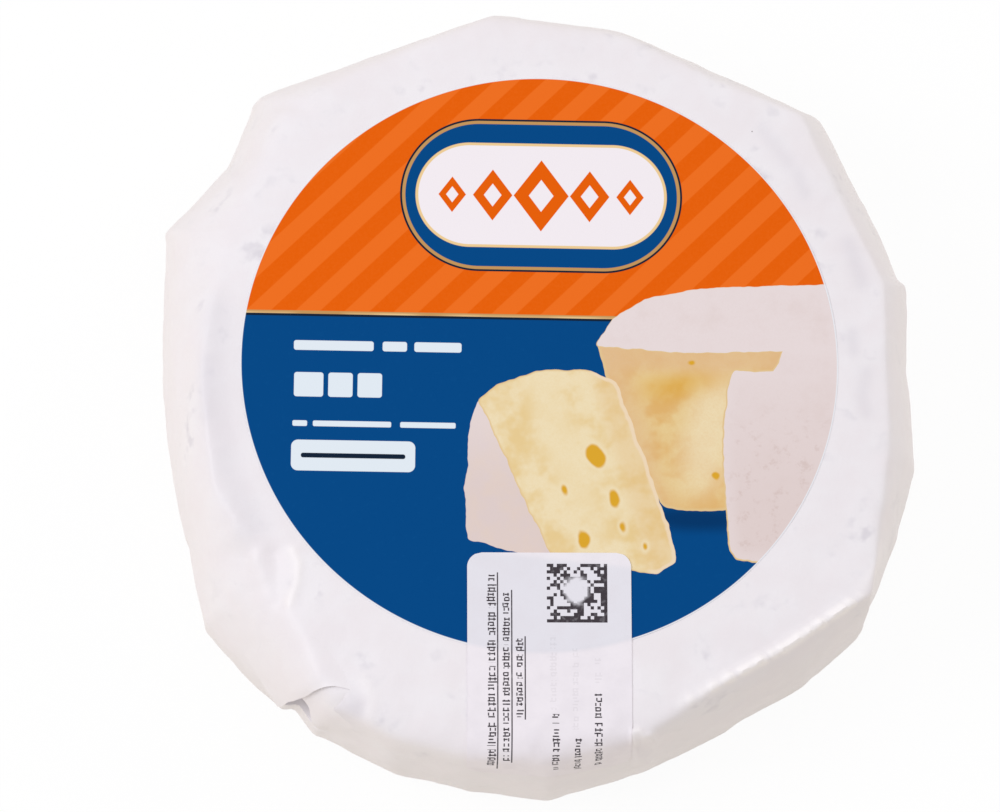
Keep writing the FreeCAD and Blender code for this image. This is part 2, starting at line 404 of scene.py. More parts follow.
def make_flap(edge, back, reach, lift, tree):
    """A sheet that lies on the paper and lifts toward its free edge."""
    edge, back = np.array(edge), np.array(back) / np.linalg.norm(back)
    walk = lengths_along(edge)
    line = points_along(edge, walk, np.linspace(0, walk[-1], FLAP_COLUMNS))
    ease(line, 30)
    rows = []
    for index, point in enumerate(line):
        taper = min(1.0, (FLAP_COLUMNS - 1 - index) / FLAP_TAPER)
        row = []
        for share in np.linspace(0, 1, FLAP_ROWS):
            spot, normal, _, _ = tree.find_nearest(Vector((point + back * reach * share) * MM))
            rise = lift * taper * (1 - share) ** 2 - FLAP_SINK * share
            row.append(spot + normal * rise * MM)
        rows.append(row)
    upper = np.array(rows)
    ease(upper[:, :-1], 12)
    normal = unit(np.cross(np.gradient(upper, axis=0), np.gradient(upper, axis=1)))
    if normal[..., 2].mean() < 0:
        normal = -normal
    lower = upper - normal * PAPER_THICKNESS
    return np.concatenate([upper, lower[:, ::-1]], axis=1)


@contextmanager
def editing(mesh):
    """Opens a mesh for changes and writes them back."""
    work = bmesh.new()
    work.from_mesh(mesh)
    yield work
    work.to_mesh(mesh)
    work.free()


def add_sheet(mesh, grid):
    """Joins a closed strip of points to a mesh as a loose sheet."""
    rows = grid.shape[1]
    with editing(mesh) as work:
        verts = [[work.verts.new(point) for point in column] for column in grid.tolist()]
        for left, right in zip(verts, verts[1:]):
            for row in range(rows):
                after = (row + 1) % rows
                work.faces.new((left[row], left[after], right[after], right[row]))
        for column in (verts[0], verts[-1]):
            for row in range(rows // 2 - 1):
                work.faces.new((column[row], column[row + 1], column[rows - 2 - row],
                                column[rows - 1 - row]))
        bmesh.ops.recalc_face_normals(work, faces=work.faces)


def new_mesh(name, vertices, faces):
    mesh = bpy.data.meshes.new(name)
    mesh.from_pydata(vertices.tolist(), [], faces)
    return mesh


def mesh_from_grid(name, points):
    """A mesh from columns by rows of points.  The columns join round, and a fan closes the
    first and the last row."""
    count, rows = points.shape[:2]
    vertices = np.concatenate([points.reshape(-1, 3), points[:, 0].mean(axis=0)[None],
                               points[:, -1].mean(axis=0)[None]])
    faces, first_end, last_end = [], [], []
    for left in range(count):
        here, there = left * rows, (left + 1) % count * rows
        for row in range(rows - 1):
            faces.append((here + row, here + row + 1, there + row + 1, there + row))
        first_end.append((count * rows, here, there))
        last_end.append((count * rows + 1, there + rows - 1, here + rows - 1))
    return new_mesh(name, vertices, faces + first_end + last_end)


def tidy_mesh(mesh, merge=0.002 * MM):
    """Merges the points that coincide, and turns every face outward."""
    with editing(mesh) as work:
        bmesh.ops.remove_doubles(work, verts=work.verts, dist=merge)
        bmesh.ops.dissolve_degenerate(work, dist=merge / 2, edges=work.edges)
        bmesh.ops.recalc_face_normals(work, faces=work.faces)


def finish_edges(mesh, angle):
    """Smooth shading that keeps the edges that turn by more than an angle crisp."""
    mesh.shade_smooth()
    with editing(mesh) as work:
        for edge in work.edges:
            if len(edge.link_faces) == 2 and edge.calc_face_angle(0) > math.radians(angle):
                edge.smooth = False


def mesh_tree(mesh):
    work = bmesh.new()
    work.from_mesh(mesh)
    tree = BVHTree.FromBMesh(work)
    work.free()
    return tree


def add_object(name, data):
    item = bpy.data.objects.new(name, data)
    bpy.context.scene.collection.objects.link(item)
    return item


def add_piece(name, mesh, material, node):
    piece = add_object(name, mesh)
    mesh.materials.append(material)
    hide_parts(node)
    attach(piece, "root")
    return piece


def make_paper(material):
    points, outward = paper_grid()
    ridge_highlight_and_grey = np.zeros(points.shape[:2])
    soften_rim(points)
    wrinkle_paper(points, outward)
    press_creases(points, outward, CREASES, ridge_highlight_and_grey)
    pinch_ridge(points, outward, ridge_highlight_and_grey)
    # Painted shade under the loose edges at the front left, and grey along the other listed lines,
    # as negative values of the mask.
    for share, width, line in GREY_LINES:
        ridge_highlight_and_grey -= share * near_line(points, line, width) * (points[..., 2] > 0.6 * WHEEL_HEIGHT)
    tree = mesh_tree(mesh_from_grid("paper_before_pocket", points))
    press_creases(points, outward, POCKET, ridge_highlight_and_grey)
    points[..., 2] = np.maximum(points[..., 2], 0.0)
    mesh = mesh_from_grid("folded_paper", points)
    # The mask for the material: painted highlight above 0, grey below 0 (painted shade under the
    # loose edges among it).
    free = mesh.attributes.new("highlight_and_grey_paint", "FLOAT", "POINT")
    free.data.foreach_set("value", np.append(ridge_highlight_and_grey.ravel(), [0.0, 0.0]))
    tidy_mesh(mesh)
    for edge, back, reach, lift in FLAPS:
        add_sheet(mesh, make_flap(edge, back, reach, lift, tree))
    finish_edges(mesh, 60)
    return add_piece("folded_paper", mesh, material, "wrapped_cheese")


# ---------------------------------------------------------------- the round label

LABEL_RINGS = 70
LABEL_SPOKES = 360
LABEL_LIFT = 0.02 * MM
LABEL_SHEET = 0.6 * LABEL_THICKNESS     # printed paper pressed flat


def make_label(material):
    """A thin disc that follows the paper, with a fine wave and a crisp cut edge."""
    turn = np.linspace(0, 2 * math.pi, LABEL_SPOKES, endpoint=False)
    radii = LABEL_RADIUS * np.sqrt(np.linspace(0.0002, 1, LABEL_RINGS))
    top = np.stack([radii[None, :] * np.cos(turn)[:, None],
                    radii[None, :] * np.sin(turn)[:, None],
                    np.zeros((LABEL_SPOKES, LABEL_RINGS))], axis=-1)
    top = top + np.array(LABEL_CENTRE)
    lift = np.clip(LABEL_LIFT * (crumple(top, 9 * MM, 2) + 0.4), 0, None)
    bottom = top[:, ::-1].copy()
    top[..., 2] += LABEL_SHEET + lift
    bottom[..., 2] += lift[:, ::-1]
    mesh = mesh_from_grid("round_label", np.concatenate([top, bottom], axis=1))
    tidy_mesh(mesh, merge=0.001 * MM)
    finish_edges(mesh, 50)
    return add_piece("printed_label", mesh, material, "round_label")


# ---------------------------------------------------------------- the date sticker

STICKER_ROWS = 150
STICKER_COLUMNS = 90
STICKER_LIFT = 0.02 * MM
DRAPE_STEP = 0.1 * MM
DRAPE_FAR = 80 * MM
DRAPE_ANGLES = (118, -8, 420)      # first and last elevation in degrees, and how many


def surface_line(x, trees):
    """The outline of what lies under the sticker at one x, from the top of the wheel over the
    rim and down the wall, as points in order."""
    start = Vector((x, -0.6 * WHEEL_RADIUS, 0.45 * WHEEL_HEIGHT))
    line = []
    for angle in np.linspace(*DRAPE_ANGLES):
        turn = math.radians(angle)
        way = Vector((0, -math.cos(turn), math.sin(turn)))
        reach = 0.0
        for tree in trees:
            hit = tree.ray_cast(start + way * DRAPE_FAR, -way)
            if hit[0] is not None:
                reach = max(reach, (hit[0] - start).dot(way))
        line.append(start + way * reach)
    return np.array(line)


def drape_line(x, trees):
    """Points on the sticker's back at one x, evenly spaced along its length."""
    line = surface_line(x, trees)
    walk = lengths_along(line)
    line = points_along(line, walk, np.arange(0, walk[-1], DRAPE_STEP))
    ease(line, 14)
    walk = lengths_along(line)
    farthest = np.argmin(line[:, 1]) + 1
    begin = np.interp(-STICKER_BACK, -line[:farthest, 1], walk[:farthest])
    return points_along(line, walk, begin + np.linspace(0, STICKER_LENGTH, STICKER_ROWS))


def corner_inset(along):
    """How much narrower each side of the sticker is, near its rounded ends."""
    to_end = np.minimum(along, STICKER_LENGTH - along)
    short = np.clip(STICKER_CORNER - to_end, 0, None)
    return STICKER_CORNER - np.sqrt(STICKER_CORNER ** 2 - short ** 2)


def make_sticker(material, under):
    trees = [mesh_tree(piece.data) for piece in under]
    across = np.linspace(-STICKER_WIDTH / 2, STICKER_WIDTH / 2, STICKER_COLUMNS)
    drape = np.stack([drape_line(STICKER_CENTRE_X + x, trees) for x in across])
    along = np.linspace(0, STICKER_LENGTH, STICKER_ROWS)

    # Narrow the rows near the ends, by reading the drape at the places across that are left.
    half = STICKER_WIDTH / 2 - corner_inset(along)
    skin = np.empty_like(drape)
    place = np.zeros_like(drape)
    for row in range(STICKER_ROWS):
        wanted = across / (STICKER_WIDTH / 2) * half[row]
        for axis in range(3):
            skin[:, row, axis] = np.interp(wanted, across, drape[:, row, axis])
        place[:, row, 0] = wanted
        place[:, row, 1] = along[row]

    outward = unit(np.cross(np.gradient(skin, axis=1), np.gradient(skin, axis=0)))
    if outward[STICKER_COLUMNS // 2, 5, 2] < 0:
        outward = -outward
    back = skin + outward * STICKER_LIFT
    front = back + outward * STICKER_THICKNESS

    columns, rows = STICKER_COLUMNS, STICKER_ROWS
    behind = columns * rows
    vertices = np.concatenate([front.reshape(-1, 3), back.reshape(-1, 3)])
    faces = []
    for c in range(columns - 1):
        for r in range(rows - 1):
            quad = (c * rows + r, c * rows + r + 1, (c + 1) * rows + r + 1, (c + 1) * rows + r)
            faces += [quad, tuple(index + behind for index in reversed(quad))]
    rim = [(c, 0) for c in range(columns)] + [(columns - 1, r) for r in range(1, rows)]
    rim += [(c, rows - 1) for c in range(columns - 2, -1, -1)]
    rim += [(0, r) for r in range(rows - 2, 0, -1)]
    for (c0, r0), (c1, r1) in zip(rim, rim[1:] + rim[:1]):
        a, b = c0 * rows + r0, c1 * rows + r1
        faces.append((a, b, b + behind, a + behind))
    mesh = new_mesh("date_sticker", vertices, faces)
    spot = mesh.attributes.new("print_place", "FLOAT_VECTOR", "POINT")
    spot.data.foreach_set("vector", np.tile(place.ravel() / MM, 2))
    finish_edges(mesh, 50)
    with editing(mesh) as work:
        bmesh.ops.recalc_face_normals(work, faces=work.faces)
    return add_piece("printed_sticker", mesh, material, "date_sticker")


# ---------------------------------------------------------------- wiring for materials

def srgb(red, green, blue):
    """A colour given as it looks on screen, 0 to 255, as the linear colour Blender takes."""
    def linear(value):
        value /= 255
        return value / 12.92 if value <= 0.04045 else ((value + 0.055) / 1.055) ** 2.4
    return (linear(red), linear(green), linear(blue), 1.0)


INK_EDGE = 0.05            # how soft a printed edge is, in millimetres


class Wiring:
    """Adds nodes to one node tree.  Each call returns the socket that comes out."""

    def __init__(self, tree):
        self.tree = tree

    def node(self, kind, inputs=None, **settings):
        node = self.tree.nodes.new("ShaderNode" + kind)
        for name, value in settings.items():
            setattr(node, name, value)
        for key, value in (inputs or {}).items():
            self.feed(node.inputs[key], value)
        return node

    def feed(self, socket, value):
        if isinstance(value, bpy.types.NodeSocket):
            self.tree.links.new(value, socket)
        else:
            socket.default_value = value

    def math(self, operation, *values, clamp=False):
        return self.node("Math", dict(enumerate(values)), operation=operation,
                         use_clamp=clamp).outputs[0]

    plus, minus = partialmethod(math, "ADD"), partialmethod(math, "SUBTRACT")
    times, over = partialmethod(math, "MULTIPLY"), partialmethod(math, "DIVIDE")
    above, below = partialmethod(math, "GREATER_THAN"), partialmethod(math, "LESS_THAN")
    most, size = partialmethod(math, "MAXIMUM"), partialmethod(math, "ABSOLUTE")

    def vector(self, operation, *values, out=0):
        return self.node("VectorMath", dict(enumerate(values)), operation=operation).outputs[out]

    def scaled(self, vector, scale):
        return self.node("VectorMath", {0: vector, "Scale": scale}, operation="SCALE").outputs[0]

    def split(self, vector):
        """The three parts of a vector."""
        return tuple(self.node("SeparateXYZ", {0: vector}).outputs)

    def mix(self, share, low, high):
        return self.node("Mix", {0: share, 6: low, 7: high}, data_type="RGBA").outputs[2]

    def inked(self, inside, edge=INK_EDGE):
        """Turns a depth inside a shape into a mask with a crisp edge."""
        return self.plus(self.over(inside, edge), 0.5, clamp=True)

    def ink(self, inside, under, over):
        """Prints one colour over another inside a shape."""
        return self.mix(self.inked(inside), under, over)

    def wash(self, under, over, value, *span, **kind):
        """Mixes one colour over another as a value goes through a ramp."""
        return self.mix(self.ramp(value, *span, **kind), under, over)

    def ramp(self, value, low, high, to_low=0.0, to_high=1.0, smooth=True):
        kind = "SMOOTHSTEP" if smooth else "LINEAR"
        return self.node("MapRange", {0: value, 1: low, 2: high, 3: to_low, 4: to_high},
                         interpolation_type=kind).outputs[0]

    def noise(self, place, scale, detail=2.0, roughness=0.5, out="Fac"):
        return self.node("TexNoise", {"Vector": place, "Scale": scale, "Detail": detail,
                                      "Roughness": roughness}).outputs[out]

    def use(self, group, out=0, **inputs):
        """Places a group with its inputs given by name, an underscore for each space."""
        node = self.node("Group", node_tree=group)
        for name, value in inputs.items():
            self.feed(node.inputs[name.replace("_", " ")], value)
        return node.outputs if out is None else node.outputs[out]


def new_group(name, inputs, outputs):
    """A node group with named sockets, its wiring, its inputs and a node for its outputs."""
    group = bpy.data.node_groups.new(name, "ShaderNodeTree")
    for sockets, way in ((inputs, "INPUT"), (outputs, "OUTPUT")):
        for title, kind in sockets.items():
            group.interface.new_socket(title, in_out=way, socket_type="NodeSocket" + kind)
    given = group.nodes.new("NodeGroupInput").outputs
    return group, Wiring(group), given, group.nodes.new("NodeGroupOutput")


def empty_nodes(owner):
    """The wiring of a material or a world that starts with no nodes."""
    owner.use_nodes = True
    owner.node_tree.nodes.clear()
    return Wiring(owner.node_tree)


def new_material(name):
    material = bpy.data.materials.new(name)
    w = empty_nodes(material)
    shader = w.node("BsdfPrincipled")
    w.node("OutputMaterial", {"Surface": shader.outputs[0]})
    return material, w, shader


def millimetres(wiring):
    """The object's own coordinates, in millimetres."""
    return wiring.scaled(wiring.node("TexCoord").outputs["Object"], 1 / MM)


def paper_tooth_group():
    """The fine tooth of a paper, as a height."""
    group, w, given, out = new_group("Paper tooth", {"Place": "Vector", "Size": "Float"},
                                     {"Height": "Float"})
    scale = w.over(1.0, given["Size"])
    fine = w.noise(given["Place"], scale, 3.0, 0.6)
    fibre = w.noise(w.vector("MULTIPLY", given["Place"], (1.0, 0.35, 1.0)), scale, 2.0, 0.5)
    w.feed(out.inputs[0], w.plus(fine, fibre))
    return group


def specks_group():
    """Sparse tiny dark specks, as a mask."""
    group, w, given, out = new_group(
        "Specks", {"Place": "Vector", "Spacing": "Float", "Size": "Float"}, {"Mask": "Float"})
    scale = w.over(1.0, given["Spacing"])
    cells = w.node("TexVoronoi", {"Vector": given["Place"], "Scale": scale})
    near = w.times(cells.outputs["Distance"], given["Spacing"])
    dot = w.below(near, given["Size"])
    chance = w.node("SeparateColor", {0: cells.outputs["Color"]}).outputs[0]
    some = w.above(chance, 0.55)
    w.feed(out.inputs[0], w.times(dot, some))
    return group


def damp_group():
    """Where moist rind clings to the paper and shows through it, as a mask, and how cloudy the
    paper is all over."""
    group, w, given, out = new_group("Damp patches", {"Place": "Vector", "Size": "Float"},
                                     {"Mask": "Float", "Cloud": "Float"})
    scale = w.over(1.0, given["Size"])
    blotch = w.noise(given["Place"], scale, 3.0, 0.55)
    elsewhere = w.vector("ADD", given["Place"], (31.0, 7.0, 12.0))
    spots = w.noise(elsewhere, w.times(scale, 2.6), 2.0, 0.5)
    both = w.times(w.ramp(blotch, 0.50, 0.72), w.ramp(spots, 0.48, 0.70))
    w.feed(out.inputs["Mask"], both)
    w.feed(out.inputs["Cloud"], w.ramp(blotch, 0.3, 0.7))
    return group


def finish_paper(w, shader, colour, roughness, gloss, height, depth):
    """Feeds a paper's colour, its uneven shine and its fine tooth to the shader."""
    w.feed(shader.inputs["Base Color"], colour)
    w.feed(shader.inputs["Roughness"], roughness)
    shader.inputs["Specular IOR Level"].default_value = gloss
    bump = w.node("Bump", {"Height": height, "Distance": depth})
    w.feed(shader.inputs["Normal"], bump.outputs[0])


# ---------------------------------------------------------------- the materials

PAPER_WHITE = srgb(240, 237, 241)
PAPER_CREAM = srgb(238, 233, 237)
# Painted highlight for the ridges and narrow creases that stand up from the paper.
PAPER_HIGHLIGHT = srgb(251, 247, 248)
# Damp grey of the paper, also used for the painted shade under the loose edges.
PAPER_DAMP_AND_SHADE = srgb(214, 210, 218)
PAPER_SPECK = srgb(120, 112, 112)


def white_paper(tooth, specks, damp):
    """Greaseproof paper: faintly glossy, cloudy where it clings to the rind, with a painted
    highlight on its ridges and painted shade under its loose edges at the front left.
    """
    material, w, shader = new_material("White greaseproof paper")
    place = millimetres(w)
    patches = w.use(damp, out=None, Place=place, Size=6.0)
    height = w.split(place)[2]
    upper = w.ramp(height, 0.6 * WHEEL_HEIGHT / MM, WHEEL_HEIGHT / MM, 0.15, 0.75)
    clings = w.times(patches["Mask"], upper)
    colour = w.mix(patches["Cloud"], PAPER_CREAM, PAPER_WHITE)
    colour = w.mix(clings, colour, PAPER_DAMP_AND_SHADE)
    # Painted highlight where the mask is above 0, on the ridge along the rim and the narrow
    # creases; below 0 it greys the paper, with painted shade under the loose edges at the front
    # left.
    free = w.node("Attribute", attribute_name="highlight_and_grey_paint").outputs["Fac"]
    colour = w.mix(free, colour, PAPER_HIGHLIGHT)
    colour = w.mix(w.times(free, -1.0), colour, PAPER_DAMP_AND_SHADE)
    dots = w.use(specks, Place=place, Spacing=9.0, Size=0.13)
    colour = w.mix(w.times(dots, 0.7), colour, PAPER_SPECK)
    finish_paper(w, shader, colour, w.ramp(patches["Cloud"], 0, 1, 0.42, 0.52), 0.35,
                 w.use(tooth, Place=place, Size=0.5), 0.015 * MM)
    return material


def half_plane(w, place, start, end):
    """How far a place lies to the left of the line from start to end."""
    along = Vector(end) - Vector(start)
    left = Vector((-along.y, along.x)).normalized()
    dot = w.vector("DOT_PRODUCT", place, (left.x, left.y, 0.0), out=1)
    return w.minus(dot, left.dot(Vector(start)))


def polygon(w, place, corners, rounding):
    """How far a place lies inside a convex outline, given anticlockwise."""
    inside = None
    for start, end in zip(corners, corners[1:] + corners[:1]):
        side = half_plane(w, place, start, end)
        inside = side if inside is None else w.math("SMOOTH_MIN", inside, side, rounding)
    return inside


def ellipse(w, place, centre, across, along, turn=0.0):
    """How far a place lies inside an ellipse."""
    node = w.node("Mapping", {"Vector": place, "Location": (*centre, 0.0),
                              "Rotation": (0.0, 0.0, math.radians(turn)),
                              "Scale": (across, along, 1.0)}, vector_type="TEXTURE")
    flat = w.vector("MULTIPLY", node.outputs[0], (1.0, 1.0, 0.0))
    length = w.vector("LENGTH", flat, out=1)
    return w.times(w.minus(1.0, length), min(across, along))


def bar_group():
    """How far a place lies inside a bar with rounded corners."""
    group, w, given, out = new_group(
        "Rounded bar", {"Place": "Vector", "Centre": "Vector", "Half size": "Vector",
                        "Corner": "Float"}, {"Inside": "Float"})
    away = w.vector("ABSOLUTE", w.vector("SUBTRACT", given["Place"], given["Centre"]))
    corner = w.node("CombineXYZ", {0: given["Corner"], 1: given["Corner"]}).outputs[0]
    past = w.vector("SUBTRACT", away, w.vector("SUBTRACT", given["Half size"], corner))
    past = w.vector("MULTIPLY", w.vector("MAXIMUM", past, (0.0, 0.0, 0.0)), (1.0, 1.0, 0.0))
    w.feed(out.inputs[0], w.minus(given["Corner"], w.vector("LENGTH", past, out=1)))
    return group


def unsteady(w, place, scale, reach):
    """A place moved a little by noise, so that what is drawn there has uneven edges."""
    wobble = w.vector("SUBTRACT", w.noise(place, scale, 2.0, 0.5, out="Color"), (0.5, 0.5, 0.5))
    return w.vector("ADD", place, w.scaled(wobble, reach))


ORANGE_DARK = srgb(231, 96, 4)
ORANGE_LIGHT = srgb(239, 112, 32)
DEEP_BLUE = srgb(0, 72, 134)
SHADOW_BLUE = srgb(0, 48, 96)
NIGHT = srgb(16, 32, 52)
GOLD_DARK = srgb(196, 150, 92)
GOLD_LIGHT = srgb(238, 206, 150)
PRINT_WHITE = srgb(244, 238, 243)
TEXT_WHITE = srgb(226, 236, 244)
RIND_LIGHT = srgb(233, 221, 221)
RIND_DARK = srgb(223, 207, 204)
RIND_SPECK = srgb(203, 181, 174)
WEDGE_RIND = srgb(226, 208, 199)
PASTE_LIGHT = srgb(240, 224, 186)
PASTE = srgb(232, 205, 148)
PASTE_DEEP = srgb(224, 180, 112)
PASTE_LIP = srgb(226, 190, 146)
CUT_EDGE = srgb(240, 219, 190)
CRUST = srgb(227, 198, 146)
HOLE = srgb(221, 168, 47)
LABEL_CORE = srgb(236, 238, 243)

PRINT_TURN = -0.85         # the label was stuck on a little askew, in degrees
STRIPE_PERIOD = 4.26
DIVIDER_HEIGHT = 5.88      # above the label's centre, in millimetres
DIVIDER_WIDTH = 0.40
BADGE_HEIGHT = 21.4


def print_place(w):
    """Millimetres from the label's centre, square to its print."""
    place = w.vector("SUBTRACT", millimetres(w), tuple(LABEL_CENTRE / MM))
    node = w.node("VectorRotate", {"Vector": place, "Angle": math.radians(-PRINT_TURN)},
                  rotation_type="Z_AXIS")
    return node.outputs[0]


def label_outline(w, place):
    """How far a place lies inside the label's cut edge."""
    return ellipse(w, place, (0.0, 0.0), LABEL_RADIUS / MM, LABEL_RADIUS / MM)


def paint_field(w, place):
    """The orange stripes above, the blue below, and the gold line between them."""
    x, y, _ = w.split(place)
    slant = w.times(w.minus(x, y), math.sqrt(0.5) / STRIPE_PERIOD)
    wave = w.math("PINGPONG", w.plus(slant, 0.25), 0.5)
    stripe = w.inked(w.minus(wave, 0.25), 0.03)
    grain = w.noise(place, 3.2, 2.0, 0.7)
    orange = w.mix(stripe, ORANGE_DARK, ORANGE_LIGHT)
    orange = w.wash(orange, ORANGE_LIGHT, grain, 0.3, 0.8, 0.0, 0.22)
    speckle = w.noise(place, 1.1, 4.0, 0.7)
    blue = w.wash(DEEP_BLUE, srgb(10, 84, 146), speckle, 0.55, 0.85, 0.0, 0.4)
    above = w.minus(y, DIVIDER_HEIGHT)
    colour = w.ink(above, blue, orange)
    line = w.minus(DIVIDER_WIDTH / 2, w.size(above))
    under = w.minus(0.17, w.size(w.plus(above, 0.33)))
    colour = w.ink(under, colour, NIGHT)
    gold = w.wash(GOLD_LIGHT, GOLD_DARK, above, -0.2, 0.2)
    worn = w.noise(w.vector("MULTIPLY", place, (1, 0, 0)), 0.09, 1.0)
    gold = w.wash(gold, GOLD_DARK, worn, 0.4, 0.6)
    return w.ink(line, colour, gold)


def paint_badge(w, place, colour, bar):
    """A plain badge: a white band on a blue one, edged in gold, with a row of lozenges."""
    def band(half, corner):
        return w.use(bar, Place=place, Centre=(0.0, BADGE_HEIGHT, 0.0), Half_size=(*half, 0.0),
                     Corner=corner)

    outer = band((17.2, 9.6), 9.6)
    colour = w.ink(w.plus(outer, 0.25), colour, NIGHT)
    colour = w.ink(outer, colour, GOLD_DARK)
    colour = w.ink(w.minus(outer, 0.4), colour, DEEP_BLUE)
    inner = band((15.2, 6.4), 6.4)
    colour = w.ink(w.plus(inner, 0.35), colour, GOLD_LIGHT)
    colour = w.ink(inner, colour, PRINT_WHITE)
    for x, size in ((-11.0, 2.3), (-6.0, 3.3), (0.0, 4.6), (6.0, 3.3), (11.0, 2.3)):
        away = w.vector("ABSOLUTE", w.vector("SUBTRACT", place, (x, BADGE_HEIGHT, 0.0)))
        x_away, y_away, _ = w.split(away)
        reach = w.plus(w.times(x_away, 1.35), y_away)
        lozenge = w.minus(size, reach)
        colour = w.ink(lozenge, colour, ORANGE_DARK)
        colour = w.ink(w.minus(lozenge, size * 0.55), colour, PRINT_WHITE)
    return colour


# Plain bars where a pack would carry its words: centre, half size and corner.
LIGHT_BARS = [
    ((-25.3, 1.65), (4.9, 0.62), 0.3),
    ((-17.8, 1.65), (1.5, 0.62), 0.3),
    ((-12.5, 1.65), (2.9, 0.62), 0.3),
    ((-28.3, -3.35), (1.8, 1.55), 0.35),
    ((-24.4, -3.35), (1.5, 1.55), 0.35),
    ((-20.8, -3.35), (1.5, 1.55), 0.35),
    ((-29.3, -8.3), (0.9, 0.36), 0.2),
    ((-22.9, -8.3), (4.8, 0.36), 0.2),
    ((-13.6, -8.3), (3.4, 0.36), 0.2),
    ((-22.7, -12.35), (7.6, 1.95), 0.85),
]
DARK_BAR = ((-22.7, -12.35), (6.4, 0.30), 0.28)


def paint_bars(w, place, colour, bar):
    for centre, half, corner in LIGHT_BARS + [DARK_BAR]:
        inside = w.use(bar, Place=place, Centre=(*centre, 0.0), Half_size=(*half, 0.0),
                       Corner=corner)
        dark = (centre, half, corner) == DARK_BAR
        colour = w.ink(inside, colour, NIGHT if dark else TEXT_WHITE)
    return colour


# The holes in the wedge's cut face: centre, half widths and turn.
HOLES = [
    ((7.0, -11.8), 1.2, 1.6, 30),
    ((5.6, -22.4), 0.8, 1.2, 15),
    ((9.4, -17.2), 0.7, 1.2, 20),
    ((10.4, -20.8), 0.4, 0.7, 0),
    ((3.2, -16.2), 0.4, 0.7, 10),
    ((13.2, -23.0), 0.35, 0.5, 0),
]


